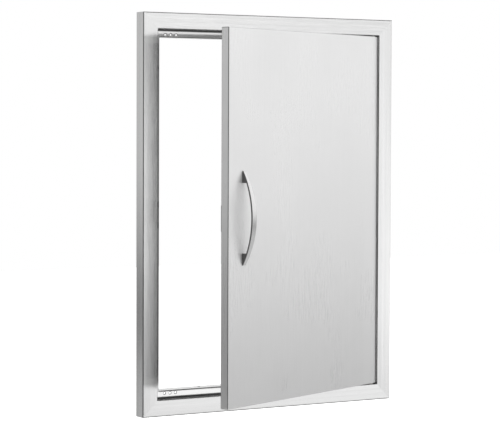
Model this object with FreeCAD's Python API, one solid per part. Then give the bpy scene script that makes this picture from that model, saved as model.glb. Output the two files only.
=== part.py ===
import FreeCAD, Part
import math
import os

V = FreeCAD.Vector

# A single access door for an outdoor kitchen island, in stainless sheet.
# The row frame: X to the right, Y into the island, Z up, in millimetres.
# The origin is the middle of the cut-out, in the plane of the island's face, where the frame seats.
# Sections are drawn as (inward from the outer edge, back from the frame's front face).

# Frame: four sides bent from sheet and mitred. Each has an outer side standing proud of the island,
# a face, a recess for the door, a stop flange behind the door and a sleeve that goes into the cut-out.
FRAME_WIDTH = 508.0
FRAME_HEIGHT = 685.8
FACE_WIDTH = 28.5
FRAME_PROUD = 25.4       # front face to the island's face
FRAME_SHEET = 1.0
FRAME_BEND = 0.4         # inside radius of the frame's bends
RECESS_BEND = 2.2        # radius that shows in the corner of the recess
SEAT_LIP = 9.0           # lip folded in along the seat
RECESS_DEPTH = 19.5      # front face to the front of the stop flange
STOP_REACH = 13.0        # opening's edge to the sleeve's inner face
SLEEVE_DEPTH = 20.0      # sleeve beyond the seat plane, into the cut-out
MOUNT_HOLE_RADIUS = 2.5
SIDE_MOUNT_SPACING = 400.0
END_MOUNT_SPACING = 250.0

# Door: a bent pan with a joggled liner let into its back
DOOR_GAP = 1.5           # door edge to the opening's edge, all round
DOOR_THICKNESS = 15.0
DOOR_SHEET = 1.0
DOOR_BEND = 1.5          # outside radius of the door's bent edges
DOOR_LIP = 16.0          # the pan's lip, folded in round the back
LINER_SHEET = 1.0
LINER_TUCK = 6.0         # liner flange held under the lip
LINER_GAP = 0.5          # liner's raised field to the lip's edge
WINDOW_CORNER = 5.0
REST_OPEN_DEG = 22.8     # how far the door stands open at rest

# Pivot hinges, top and bottom: a bracket hidden in the rail carries a pin that comes through the recess
HINGE_INSET = 9.0        # pin axis from the door's hinge-side edge
HINGE_DEPTH = 6.0        # pin axis behind the door's front face
PIN_RADIUS = 2.5
PIN_ENGAGED = 11.0       # pin inside the door
PIN_TIP = 0.5            # chamfer at the pin's end
PIN_HEAD_RADIUS = 4.0
PIN_HEAD = 1.0
PIN_HOLE_CLEARANCE = 0.3
BRACKET_SHEET = 1.5
BRACKET_LENGTH = 48.0
BRACKET_NOSE = 6.0       # bracket beyond the pin axis, towards the hinge side
BRACKET_FRONT = 0.6      # bracket's edge behind the face's inner side
BUSHING_WALL = 1.0
BUSHING_FLANGE = 0.8
BUSHING_BARB = 0.4
BUSHING_BARB_LENGTH = 2.0
BUSHING_LENGTH = 12.0
RUNNING_CLEARANCE = 0.08
SEAT_CLEARANCE = 0.2
FIT_CLEARANCE = 0.05

# Hinge bracket screws. The same holes are left open on the other side, to turn the door round.
HINGE_HOLE_FIRST = 52.5  # from the frame's outer edge
HINGE_HOLE_PITCH = 10.6
HINGE_HOLE_COUNT = 3
HINGE_HOLE_RADIUS = 1.8
HINGE_HOLE_EDGE = 4.6    # hole line from the sleeve's inner face
SCREW_RADIUS = 1.5
SCREW_HEAD_RADIUS = 2.8
SCREW_HEAD_HEIGHT = 2.0
NUT_WIDTH = 5.5
NUT_HEIGHT = 2.4
SCREW_BEYOND_NUT = 0.5
HEAD_RIM = 0.4           # share of a domed head's height that its upright rim takes
DOME_FLAT = 0.4          # share of a domed head's radius that is flat on top

# Handle: a bowed bar with a solid foot at each end
HANDLE_LENGTH = 156.0
HANDLE_CROWN = 23.0      # outer face off the door at mid length
HANDLE_TIP = 2.0         # outer face off the door at the tips
HANDLE_BAR = 3.2
HANDLE_FOOT = 20.0
HANDLE_WIDTH = 12.0
HANDLE_TIP_WIDTH = 7.5
HANDLE_INSET = 42.0      # handle's middle line from the door's free edge
HANDLE_HOLE_SPACING = 128.0
HANDLE_EDGE = 0.7
HANDLE_SCREW_RADIUS = 2.0
HANDLE_HOLE_CLEARANCE = 0.2
HANDLE_HOLE_SPARE = 0.5  # blind hole beyond the screw's end
HANDLE_SCREW_ENGAGED = 3.6
HANDLE_SCREW_HEAD_RADIUS = 3.7
HANDLE_SCREW_HEAD = 2.6
HANDLE_WASHER_RADIUS = 5.0
HANDLE_WASHER = 0.8
BACKING_PLATE = 1.5
BACKING_WIDTH = 24.0
BACKING_MARGIN = 14.0
PLUG_HOLE_RADIUS = 8.0
PLUG_CAP_RADIUS = 10.0
PLUG_CAP = 1.2
PLUG_SKIRT = 4.0
PLUG_WALL = 1.2
PLUG_CLEARANCE = 0.1
PLUG_EDGE = 0.7          # rounding of the cap's rim

# Magnetic catch let into the stop flange on the free side, and its strike on the door
CATCH_LENGTH = 46.0
CATCH_BODY_LENGTH = 30.0
CATCH_BODY_WIDTH = 7.0
CATCH_BEZEL_WIDTH = 8.0
CATCH_BEZEL = 1.2
CATCH_BODY_DEPTH = 5.2   # behind the flange's front
CATCH_FLOOR = 1.0
POLE_SHEET = 1.2
POLE_LENGTH = 26.0
MAGNET_WIDTH = 3.0
MAGNET_SETBACK = 0.5
CATCH_SCREW_RADIUS = 1.5
CATCH_SCREW_HEAD_RADIUS = 2.8
CATCH_SCREW_BEYOND = 2.5
STRIKE_LENGTH = 44.0
STRIKE_WIDTH = 8.0
STRIKE_SHEET = 1.2
STRIKE_GAP = 0.4         # strike to the catch's poles when shut
STRIKE_CORNER = 1.5
STRIKE_RIVET_INSET = 5.0
STRIKE_RIVET_RADIUS = 1.6
STRIKE_RIVET_HEAD_RADIUS = 2.6
STRIKE_RIVET_TAIL = 1.0
SINK = 0.8               # share of a thin plate that a countersunk head goes into

# Bumper pads on the stop
BUMPER_RADIUS = 4.0
BUMPER_SPACING = 500.0

# Cutters run this far past what they cut
OVERRUN = 1.0

# Worked out from the sizes above
HALF_WIDTH = FRAME_WIDTH / 2
HALF_HEIGHT = FRAME_HEIGHT / 2
FRONT_Y = -FRAME_PROUD
OPENING_HALF_WIDTH = HALF_WIDTH - FACE_WIDTH
OPENING_HALF_HEIGHT = HALF_HEIGHT - FACE_WIDTH
STOP_EDGE = FACE_WIDTH + STOP_REACH
HINGE_HOLE_LINE = STOP_EDGE - HINGE_HOLE_EDGE
FLAT_LINE = FACE_WIDTH + (RECESS_BEND + STOP_REACH - FRAME_BEND - FRAME_SHEET) / 2   # middle of the flange
DOOR_HALF_WIDTH = OPENING_HALF_WIDTH - DOOR_GAP
DOOR_HALF_HEIGHT = OPENING_HALF_HEIGHT - DOOR_GAP
HINGE_X = DOOR_HALF_WIDTH - HINGE_INSET
BUSHING_RADIUS = PIN_RADIUS + RUNNING_CLEARANCE + BUSHING_WALL
BUSHING_FLANGE_RADIUS = HINGE_DEPTH - DOOR_BEND
HINGE_Y = FRONT_Y + HINGE_DEPTH
HANDLE_X = -DOOR_HALF_WIDTH + HANDLE_INSET
CATCH_X = -HALF_WIDTH + FLAT_LINE
STRIKE_X = -DOOR_HALF_WIDTH + DOOR_BEND + STRIKE_WIDTH / 2
STRIKE_BACK = DOOR_THICKNESS + STRIKE_SHEET


def box(x0, x1, y0, y1, z0, z1):
    return Part.makeBox(x1 - x0, y1 - y0, z1 - z0, V(x0, y0, z0))


def cylinder(centre, direction, radius, length):
    return Part.makeCylinder(radius, length, centre, direction)


def drill(start, direction, radius, depth):
    """A round cutter through a wall that begins at start and is depth thick."""
    return cylinder(start - direction * OVERRUN, direction, radius, depth + 2 * OVERRUN)


def slab_corners(slab):
    """The edges of a flat slab that run through its thickness, along Y."""
    boxes = [(edge, edge.BoundBox) for edge in slab.Edges]
    return [edge for edge, size in boxes if size.YLength > size.XLength + size.ZLength]


def revolved(profile, centre):
    """Turns a closed (radius, height) outline about the upright line through centre."""
    points = [V(r, 0, z) for r, z in profile]
    face = Part.Face(Part.makePolygon(points + points[:1]))
    turned = face.revolve(V(0, 0, 0), V(0, 0, 1), 360)
    turned.translate(centre)
    return turned


def upside_down(shape):
    return shape.mirror(V(0, 0, 0), V(0, 0, 1))


def offset_corner(before, corner, after, distance):
    """The corner of a line set off to the left by distance, for square or slanted turns."""
    into = (corner - before).normalize()
    out = (after - corner).normalize()
    left_in = V(-into.y, into.x, 0)
    left_out = V(-out.y, out.x, 0)
    return corner + (left_in + left_out) * (distance / (1 + left_in.dot(left_out)))


def rounded_line(points, radii):
    """Edges along points, with an arc of the given radius at each inner point."""
    edges = []
    start = points[0]
    for i in range(1, len(points) - 1):
        into = (points[i] - points[i - 1]).normalize()
        out = (points[i + 1] - points[i]).normalize()
        half_turn = into.getAngle(out) / 2
        setback = radii[i - 1] * math.tan(half_turn)
        first = points[i] - into * setback
        last = points[i] + out * setback
        bisector = (out - into).normalize()
        centre = points[i] + bisector * (radii[i - 1] / math.cos(half_turn))
        middle = centre - bisector * radii[i - 1]
        edges.append(Part.LineSegment(start, first).toShape())
        edges.append(Part.Arc(first, middle, last).toShape())
        start = last
    edges.append(Part.LineSegment(start, points[-1]).toShape())
    return edges


def bent_sheet(line, thickness, inside_radii):
    """Face of a bent sheet whose shown side follows line, with the metal to the left of it."""
    shown = [V(a, b, 0) for a, b in line]
    first_left = (shown[1] - shown[0]).normalize()
    last_left = (shown[-1] - shown[-2]).normalize()
    hidden = [shown[0] + V(-first_left.y, first_left.x, 0) * thickness]
    shown_radii = []
    hidden_radii = []
    for before, corner, after, radius in zip(shown, shown[1:], shown[2:], inside_radii):
        hidden.append(offset_corner(before, corner, after, thickness))
        turns_left = (corner - before).cross(after - corner).z > 0
        shown_radii.append(radius + (thickness if turns_left else 0))
        hidden_radii.append(radius + (0 if turns_left else thickness))
    hidden.append(shown[-1] + V(-last_left.y, last_left.x, 0) * thickness)
    edges = rounded_line(shown, shown_radii)
    edges.append(Part.LineSegment(shown[-1], hidden[-1]).toShape())
    edges += rounded_line(hidden[::-1], hidden_radii[::-1])
    edges.append(Part.LineSegment(hidden[0], shown[0]).toShape())
    return Part.Face(Part.Wire(Part.__sortEdges__(edges)))


def stood_up(section, across, up):
    """Turns a flat section so that its first axis lies along across and its second along up."""
    turned = section.copy()
    turned.Placement = FreeCAD.Placement(V(0, 0, 0), FreeCAD.Rotation(across, up, across.cross(up), "XYZ"))
    return turned


def mitred_member(section, length, reach, depth):
    """Runs a section along a side of the frame, with both ends cut at 45 degrees.

    The member lies along X at the bottom of the frame, outer edge at Z 0, front at Y 0.
    """
    upright = stood_up(section, V(0, 0, 1), V(0, 1, 0))
    upright.translate(V(-length / 2, 0, 0))
    run = upright.extrude(V(length, 0, 0))
    half = length / 2
    outline = [V(-half, 0, 0), V(half, 0, 0), V(half - reach, 0, reach), V(-half + reach, 0, reach)]
    ends = Part.Face(Part.makePolygon(outline + outline[:1])).extrude(V(0, depth, 0))
    return run.common(ends)


def placed(member, side):
    """Moves a bottom member to its side of the frame."""
    turn, half_span = {
        "bottom": (0, HALF_HEIGHT),
        "left": (90, HALF_WIDTH),
        "top": (180, HALF_HEIGHT),
        "right": (270, HALF_WIDTH),
    }[side]
    moved = member.copy()
    moved.translate(V(0, FRONT_Y, -half_span))
    moved.rotate(V(0, 0, 0), V(0, 1, 0), turn)
    return moved


def opened(shape):
    """Turns a piece of the shut door about the hinge to where the door stands at rest."""
    moved = shape.copy()
    moved.rotate(V(HINGE_X, HINGE_Y, 0), V(0, 0, 1), REST_OPEN_DEG)
    return moved


def side_length(side):
    return FRAME_WIDTH if side in ("top", "bottom") else FRAME_HEIGHT


def frame_member(side):
    back = FRAME_PROUD + SLEEVE_DEPTH
    line = [
        (SEAT_LIP, FRAME_PROUD),
        (0, FRAME_PROUD),
        (0, 0),
        (FACE_WIDTH, 0),
        (FACE_WIDTH, RECESS_DEPTH),
        (STOP_EDGE, RECESS_DEPTH),
        (STOP_EDGE, back),
    ]
    section = bent_sheet(line, FRAME_SHEET, [FRAME_BEND, FRAME_BEND, FRAME_BEND, RECESS_BEND, FRAME_BEND])
    member = mitred_member(section, side_length(side), STOP_EDGE + OVERRUN, back)
    for hole in member_holes(side):
        member = member.cut(hole)
    return placed(member, side)


def flange_hole(along, inward, radius):
    """A drill through the stop flange of a member, before it is moved to its side."""
    return drill(V(along, RECESS_DEPTH, inward), V(0, 1, 0), radius, FRAME_SHEET)


def sleeve_holes(spacing):
    sleeve_middle = FRAME_PROUD + SLEEVE_DEPTH / 2
    return [
        drill(V(x, sleeve_middle, STOP_EDGE - FRAME_SHEET), V(0, 0, 1), MOUNT_HOLE_RADIUS, FRAME_SHEET)
        for x in (-spacing / 2, spacing / 2)
    ]


def catch_holes():
    """The slot for the catch's body and the holes for its screws."""
    half_slot = CATCH_BODY_LENGTH / 2 + FIT_CLEARANCE
    half_width = CATCH_BODY_WIDTH / 2 + FIT_CLEARANCE
    slot = box(-half_slot, half_slot, RECESS_DEPTH - OVERRUN, RECESS_DEPTH + FRAME_SHEET + OVERRUN,
               FLAT_LINE - half_width, FLAT_LINE + half_width)
    screw_holes = [
        flange_hole(z, FLAT_LINE, CATCH_SCREW_RADIUS + FIT_CLEARANCE)
        for z in (-catch_screw_place(), catch_screw_place())
    ]
    return [slot] + screw_holes


def member_holes(side):
    if side in ("top", "bottom"):
        hinge_holes = [
            flange_hole(sign * x, HINGE_HOLE_LINE, HINGE_HOLE_RADIUS)
            for sign in (-1, 1)
            for x in hinge_hole_places()
        ]
        wall_z = FACE_WIDTH - FRAME_SHEET
        pin_holes = [
            drill(V(x, HINGE_DEPTH, wall_z), V(0, 0, 1), PIN_RADIUS + PIN_HOLE_CLEARANCE, FRAME_SHEET)
            for x in (-HINGE_X, HINGE_X)
        ]
        return sleeve_holes(END_MOUNT_SPACING) + hinge_holes + pin_holes
    if side == "left":
        return sleeve_holes(SIDE_MOUNT_SPACING) + catch_holes()
    return sleeve_holes(SIDE_MOUNT_SPACING)


def hinge_hole_places():
    """Distances of the hinge holes from the frame's middle line."""
    return [HALF_WIDTH - HINGE_HOLE_FIRST - i * HINGE_HOLE_PITCH for i in range(HINGE_HOLE_COUNT)]


def catch_screw_place():
    """Distance of the catch's screws from its middle."""
    return (CATCH_LENGTH + CATCH_BODY_LENGTH) / 4


def hinge_bracket():
    """Upper bracket: one leg on the recess wall, which carries the pin, and one behind the stop flange."""
    wall_z = OPENING_HALF_HEIGHT + FRAME_SHEET
    flange = RECESS_DEPTH + FRAME_SHEET
    line = [(flange, STOP_REACH - FRAME_BEND - SEAT_CLEARANCE), (flange, 0), (FRAME_SHEET + BRACKET_FRONT, 0)]
    bend = RECESS_BEND + FRAME_SHEET - SEAT_CLEARANCE
    section = stood_up(bent_sheet(line, BRACKET_SHEET, [bend]), V(0, 1, 0), V(0, 0, -1))
    section.translate(V(HINGE_X + BRACKET_NOSE - BRACKET_LENGTH, FRONT_Y, wall_z))
    bracket = section.extrude(V(BRACKET_LENGTH, 0, 0))
    pin_hole = drill(V(HINGE_X, HINGE_Y, wall_z), V(0, 0, 1), PIN_RADIUS + FIT_CLEARANCE, BRACKET_SHEET)
    bracket = bracket.cut(pin_hole)
    for x in hinge_hole_places():
        start = V(x, FRONT_Y + flange, HALF_HEIGHT - HINGE_HOLE_LINE)
        bracket = bracket.cut(drill(start, V(0, 1, 0), HINGE_HOLE_RADIUS, BRACKET_SHEET))
    return bracket


def hinge_pin():
    """Upper pin, headed over the bracket, hanging down into the door's bushing."""
    bracket_top = OPENING_HALF_HEIGHT + FRAME_SHEET + BRACKET_SHEET
    length = bracket_top - DOOR_HALF_HEIGHT + PIN_ENGAGED
    return revolved([
        (0, -length),
        (PIN_RADIUS - PIN_TIP, -length),
        (PIN_RADIUS, PIN_TIP - length),
        (PIN_RADIUS, 0),
        (PIN_HEAD_RADIUS, 0),
        (PIN_HEAD_RADIUS - PIN_HEAD / 2, PIN_HEAD),
        (0, PIN_HEAD),
    ], V(HINGE_X, HINGE_Y, bracket_top))


def door_bushing():
    """Upper bushing: flange on the door's top edge, barb snapped in under the sheet."""
    bore = PIN_RADIUS + RUNNING_CLEARANCE
    barb = BUSHING_RADIUS + BUSHING_BARB
    under = -DOOR_SHEET - FIT_CLEARANCE
    return opened(revolved([
        (bore, -BUSHING_LENGTH),
        (BUSHING_RADIUS, -BUSHING_LENGTH),
        (BUSHING_RADIUS, under - BUSHING_BARB_LENGTH),
        (barb, under - BUSHING_BARB_LENGTH / 2),
        (barb, under),
        (BUSHING_RADIUS, under),
        (BUSHING_RADIUS, 0),
        (BUSHING_FLANGE_RADIUS, 0),
        (BUSHING_FLANGE_RADIUS, BUSHING_FLANGE),
        (bore, BUSHING_FLANGE),
    ], V(HINGE_X, HINGE_Y, DOOR_HALF_HEIGHT)))


def pivot_washer():
    """Nylon washer on the lower recess wall, which carries the door through its bushing's flange."""
    thickness = DOOR_GAP - BUSHING_FLANGE - SEAT_CLEARANCE
    bore = PIN_RADIUS + RUNNING_CLEARANCE
    return revolved([
        (bore, 0),
        (BUSHING_FLANGE_RADIUS, 0),
        (BUSHING_FLANGE_RADIUS, thickness),
        (bore, thickness),
    ], V(HINGE_X, HINGE_Y, -OPENING_HALF_HEIGHT))


def domed(radius, height):
    """Outline edges of a round dome above Z 0, from its rim in to the axis, with a flat middle."""
    wall = height * HEAD_RIM
    flat = radius * DOME_FLAT
    quarter = math.sqrt(0.5)
    shoulder = V(flat + (radius - flat) * quarter, 0, wall + (height - wall) * quarter)
    return [
        Part.LineSegment(V(radius, 0, 0), V(radius, 0, wall)).toShape(),
        Part.Arc(V(radius, 0, wall), shoulder, V(flat, 0, height)).toShape(),
        Part.LineSegment(V(flat, 0, height), V(0, 0, height)).toShape(),
    ]


def pan_head_screw(under_head, direction, radius, head_radius, head_height, length):
    """A screw with a domed head. Its shank runs along direction from under_head."""
    outline = domed(head_radius, head_height)
    outline += [
        Part.LineSegment(V(0, 0, head_height), V(0, 0, -length)).toShape(),
        Part.LineSegment(V(0, 0, -length), V(radius, 0, -length)).toShape(),
        Part.LineSegment(V(radius, 0, -length), V(radius, 0, 0)).toShape(),
        Part.LineSegment(V(radius, 0, 0), V(head_radius, 0, 0)).toShape(),
    ]
    screw = Part.Face(Part.Wire(outline)).revolve(V(0, 0, 0), V(0, 0, 1), 360)
    screw.Placement = FreeCAD.Placement(under_head, FreeCAD.Rotation(V(0, 0, -1), direction))
    return screw


def bracket_screws():
    head_y = FRONT_Y + RECESS_DEPTH
    length = FRAME_SHEET + BRACKET_SHEET + NUT_HEIGHT + SCREW_BEYOND_NUT
    return Part.makeCompound([
        pan_head_screw(V(x, head_y, HALF_HEIGHT - HINGE_HOLE_LINE), V(0, 1, 0),
                       SCREW_RADIUS, SCREW_HEAD_RADIUS, SCREW_HEAD_HEIGHT, length)
        for x in hinge_hole_places()
    ])


def bracket_nuts():
    nut_y = FRONT_Y + RECESS_DEPTH + FRAME_SHEET + BRACKET_SHEET
    corner = NUT_WIDTH / math.sqrt(3)
    nuts = []
    for x in hinge_hole_places():
        centre = V(x, nut_y, HALF_HEIGHT - HINGE_HOLE_LINE)
        turns = [math.radians(60 * k) for k in range(7)]
        points = [centre + V(math.cos(a), 0, math.sin(a)) * corner for a in turns]
        nut = Part.Face(Part.makePolygon(points)).extrude(V(0, NUT_HEIGHT, 0))
        nuts.append(nut.cut(drill(centre, V(0, 1, 0), SCREW_RADIUS + FIT_CLEARANCE, NUT_HEIGHT)))
    return Part.makeCompound(nuts)


def rounded_slab(half_width, half_height, y0, y1, radius):
    """A flat plate with rounded corners, centred on the door's middle line."""
    slab = box(-half_width, half_width, y0, y1, -half_height, half_height)
    return slab.makeFillet(radius, slab_corners(slab))


def door_skin():
    """The pan: one sheet bent round four sides, with a lip folded in round the back."""
    back_y = FRONT_Y + DOOR_THICKNESS
    outer = box(-DOOR_HALF_WIDTH, DOOR_HALF_WIDTH, FRONT_Y, back_y, -DOOR_HALF_HEIGHT, DOOR_HALF_HEIGHT)
    outer = outer.makeFillet(DOOR_BEND, outer.Edges)
    inner = box(-DOOR_HALF_WIDTH + DOOR_SHEET, DOOR_HALF_WIDTH - DOOR_SHEET,
                FRONT_Y + DOOR_SHEET, back_y - DOOR_SHEET,
                -DOOR_HALF_HEIGHT + DOOR_SHEET, DOOR_HALF_HEIGHT - DOOR_SHEET)
    inner = inner.makeFillet(DOOR_BEND - DOOR_SHEET, inner.Edges)
    window = rounded_slab(DOOR_HALF_WIDTH - DOOR_LIP, DOOR_HALF_HEIGHT - DOOR_LIP,
                          back_y - DOOR_SHEET - OVERRUN, back_y + OVERRUN, WINDOW_CORNER)
    skin = outer.cut(inner).cut(window)
    bushing_hole = cylinder(V(HINGE_X, HINGE_Y, -HALF_HEIGHT), V(0, 0, 1),
                            BUSHING_RADIUS + FIT_CLEARANCE, FRAME_HEIGHT)
    skin = skin.cut(bushing_hole)
    for z in handle_hole_heights():
        skin = skin.cut(handle_hole(FRONT_Y, z, DOOR_SHEET))
    for z in strike_rivet_heights():
        skin = skin.cut(drill(V(STRIKE_X, back_y - DOOR_SHEET, z), V(0, 1, 0),
                              STRIKE_RIVET_RADIUS + FIT_CLEARANCE, DOOR_SHEET))
    return opened(skin)


def door_liner():
    """The back sheet: a raised field flush with the pan's lip, and a flange under the lip."""
    back_y = FRONT_Y + DOOR_THICKNESS
    lip_front = back_y - DOOR_SHEET
    field_half_width = DOOR_HALF_WIDTH - DOOR_LIP - LINER_GAP
    field_half_height = DOOR_HALF_HEIGHT - DOOR_LIP - LINER_GAP
    field = rounded_slab(field_half_width, field_half_height, lip_front - LINER_SHEET, back_y, WINDOW_CORNER)
    flange = rounded_slab(DOOR_HALF_WIDTH - DOOR_LIP + LINER_TUCK, DOOR_HALF_HEIGHT - DOOR_LIP + LINER_TUCK,
                          lip_front - LINER_SHEET, lip_front, WINDOW_CORNER)
    hollow = rounded_slab(field_half_width - LINER_SHEET, field_half_height - LINER_SHEET,
                          lip_front - LINER_SHEET, back_y - LINER_SHEET, WINDOW_CORNER - LINER_SHEET)
    liner = field.fuse(flange).cut(hollow)
    for z in handle_hole_heights():
        plug_hole = drill(V(HANDLE_X, back_y - LINER_SHEET, z), V(0, 1, 0), PLUG_HOLE_RADIUS, LINER_SHEET)
        liner = liner.cut(plug_hole)
    return opened(liner)


def handle_hole_heights():
    return [-HANDLE_HOLE_SPACING / 2, HANDLE_HOLE_SPACING / 2]


def handle_hole(y, z, depth):
    """The hole for a handle screw through a piece that begins at y."""
    return drill(V(HANDLE_X, y, z), V(0, 1, 0), HANDLE_SCREW_RADIUS + HANDLE_HOLE_CLEARANCE, depth)


def strike_rivet_heights():
    return [-STRIKE_LENGTH / 2 + STRIKE_RIVET_INSET, STRIKE_LENGTH / 2 - STRIKE_RIVET_INSET]


def bow_arc(half_chord, foot_height, crown):
    """Edge through (-half_chord, foot_height), (0, crown) and (half_chord, foot_height)."""
    low = V(0, -foot_height, -half_chord)
    high = V(0, -foot_height, half_chord)
    return Part.Arc(low, V(0, -crown, 0), high).toShape()


def bow_height(along):
    """Height of the bow's outer face off the door, at a distance from its middle."""
    rise = HANDLE_CROWN - HANDLE_TIP
    half = HANDLE_LENGTH / 2
    radius = (half ** 2 + rise ** 2) / (2 * rise)
    return HANDLE_CROWN - radius + math.sqrt(radius ** 2 - along ** 2)


def handle():
    """Side view and front view of the bow, each run through, and what they share."""
    half = HANDLE_LENGTH / 2
    foot = half - HANDLE_FOOT
    foot_height = bow_height(foot) - HANDLE_BAR
    outer = bow_arc(half, HANDLE_TIP, HANDLE_CROWN)
    inner = bow_arc(foot, foot_height, HANDLE_CROWN - HANDLE_BAR)
    side_edges = [outer, inner]
    for sign in (-1, 1):
        side_edges.append(Part.LineSegment(V(0, -HANDLE_TIP, sign * half), V(0, 0, sign * half)).toShape())
        side_edges.append(Part.LineSegment(V(0, 0, sign * half), V(0, 0, sign * foot)).toShape())
        side_edges.append(Part.LineSegment(V(0, 0, sign * foot), V(0, -foot_height, sign * foot)).toShape())
    side = Part.Face(Part.Wire(Part.__sortEdges__(side_edges)))
    side.translate(V(-HANDLE_WIDTH, 0, 0))
    side = side.extrude(V(2 * HANDLE_WIDTH, 0, 0))
    front_edges = []
    tip = HANDLE_TIP_WIDTH / 2
    for sign in (-1, 1):
        low = V(sign * tip, 0, -half)
        high = V(sign * tip, 0, half)
        front_edges.append(Part.Arc(low, V(sign * HANDLE_WIDTH / 2, 0, 0), high).toShape())
        front_edges.append(Part.LineSegment(V(-tip, 0, sign * half), V(tip, 0, sign * half)).toShape())
    front = Part.Face(Part.Wire(Part.__sortEdges__(front_edges)))
    front = front.extrude(V(0, -HANDLE_CROWN - OVERRUN, 0))
    bow = side.common(front)
    off_the_door = [e for e in bow.Edges if e.BoundBox.YMin < -HANDLE_TIP / 2]
    bow = bow.makeFillet(HANDLE_EDGE, off_the_door)
    bow.translate(V(HANDLE_X, FRONT_Y, 0))
    for z in handle_hole_heights():
        bow = bow.cut(cylinder(V(HANDLE_X, FRONT_Y, z), V(0, -1, 0), HANDLE_SCREW_RADIUS + FIT_CLEARANCE,
                               HANDLE_SCREW_ENGAGED + HANDLE_HOLE_SPARE))
    return opened(bow)


def backing_plate():
    y0 = FRONT_Y + DOOR_SHEET
    half = HANDLE_HOLE_SPACING / 2 + BACKING_MARGIN
    half_width = BACKING_WIDTH / 2
    plate = box(HANDLE_X - half_width, HANDLE_X + half_width, y0, y0 + BACKING_PLATE, -half, half)
    for z in handle_hole_heights():
        plate = plate.cut(handle_hole(y0, z, BACKING_PLATE))
    return opened(plate)


def handle_washers():
    y0 = FRONT_Y + DOOR_SHEET + BACKING_PLATE
    washers = []
    for z in handle_hole_heights():
        disc = cylinder(V(HANDLE_X, y0, z), V(0, 1, 0), HANDLE_WASHER_RADIUS, HANDLE_WASHER)
        washers.append(opened(disc.cut(handle_hole(y0, z, HANDLE_WASHER))))
    return Part.makeCompound(washers)


def handle_screws():
    y0 = FRONT_Y + DOOR_SHEET + BACKING_PLATE + HANDLE_WASHER
    length = DOOR_SHEET + BACKING_PLATE + HANDLE_WASHER + HANDLE_SCREW_ENGAGED
    return Part.makeCompound([
        opened(pan_head_screw(V(HANDLE_X, y0, z), V(0, -1, 0), HANDLE_SCREW_RADIUS,
                              HANDLE_SCREW_HEAD_RADIUS, HANDLE_SCREW_HEAD, length))
        for z in handle_hole_heights()
    ])


def liner_plugs():
    """Caps over the two holes through which the handle's screws are driven."""
    back_y = FRONT_Y + DOOR_THICKNESS
    skirt = PLUG_HOLE_RADIUS - PLUG_CLEARANCE
    plugs = []
    for z in handle_hole_heights():
        cap = cylinder(V(HANDLE_X, back_y, z), V(0, 1, 0), PLUG_CAP_RADIUS, PLUG_CAP)
        rim = [edge for edge in cap.Edges if edge.BoundBox.YMin > back_y + PLUG_CAP / 2]
        cap = cap.makeFillet(PLUG_EDGE, rim)
        tube = cylinder(V(HANDLE_X, back_y, z), V(0, -1, 0), skirt, PLUG_SKIRT)
        bore = cylinder(V(HANDLE_X, back_y, z), V(0, -1, 0), skirt - PLUG_WALL, PLUG_SKIRT + OVERRUN)
        plugs.append(opened(cap.fuse(tube.cut(bore))))
    return Part.makeCompound(plugs)


def catch_housing():
    """Bezel on the stop flange, body through its slot, with a pocket for the magnet and poles."""
    flange_y = FRONT_Y + RECESS_DEPTH
    half_bezel = CATCH_BEZEL_WIDTH / 2
    half_body = CATCH_BODY_WIDTH / 2
    bezel = box(CATCH_X - half_bezel, CATCH_X + half_bezel, flange_y - CATCH_BEZEL, flange_y,
                -CATCH_LENGTH / 2, CATCH_LENGTH / 2)
    body = box(CATCH_X - half_body, CATCH_X + half_body, flange_y, flange_y + CATCH_BODY_DEPTH,
               -CATCH_BODY_LENGTH / 2, CATCH_BODY_LENGTH / 2)
    housing = bezel.fuse(body)
    half_pocket = MAGNET_WIDTH / 2 + POLE_SHEET + FIT_CLEARANCE
    half_length = POLE_LENGTH / 2 + FIT_CLEARANCE
    housing = housing.cut(box(CATCH_X - half_pocket, CATCH_X + half_pocket, flange_y - CATCH_BEZEL - OVERRUN,
                              pole_back_y(), -half_length, half_length))
    for z in (-catch_screw_place(), catch_screw_place()):
        housing = housing.cut(drill(V(CATCH_X, flange_y - CATCH_BEZEL, z), V(0, 1, 0),
                                    CATCH_SCREW_RADIUS + FIT_CLEARANCE, CATCH_BEZEL))
        housing = housing.cut(catch_screw_cone(z, FIT_CLEARANCE))
    return housing


def pole_back_y():
    return FRONT_Y + RECESS_DEPTH + CATCH_BODY_DEPTH - CATCH_FLOOR


def pole_front_y():
    return FRONT_Y + STRIKE_BACK + STRIKE_GAP


def catch_screw_cone(z, clearance):
    """The countersunk head of a catch screw, flush with the bezel."""
    head_y = FRONT_Y + RECESS_DEPTH - CATCH_BEZEL
    depth = CATCH_BEZEL * SINK
    return Part.makeCone(CATCH_SCREW_HEAD_RADIUS + clearance, CATCH_SCREW_RADIUS + clearance, depth,
                         V(CATCH_X, head_y, z), V(0, 1, 0))


def catch_screws():
    head_y = FRONT_Y + RECESS_DEPTH - CATCH_BEZEL
    length = CATCH_BEZEL + FRAME_SHEET + CATCH_SCREW_BEYOND
    return Part.makeCompound([
        catch_screw_cone(z, 0).fuse(cylinder(V(CATCH_X, head_y, z), V(0, 1, 0), CATCH_SCREW_RADIUS, length))
        for z in (-catch_screw_place(), catch_screw_place())
    ])


def catch_magnet():
    half = MAGNET_WIDTH / 2
    return box(CATCH_X - half, CATCH_X + half, pole_front_y() + MAGNET_SETBACK, pole_back_y(),
               -POLE_LENGTH / 2, POLE_LENGTH / 2)


def catch_poles():
    inner = MAGNET_WIDTH / 2
    outer = inner + POLE_SHEET
    return Part.makeCompound([
        box(CATCH_X + low, CATCH_X + high, pole_front_y(), pole_back_y(), -POLE_LENGTH / 2, POLE_LENGTH / 2)
        for low, high in ((-outer, -inner), (inner, outer))
    ])


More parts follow.
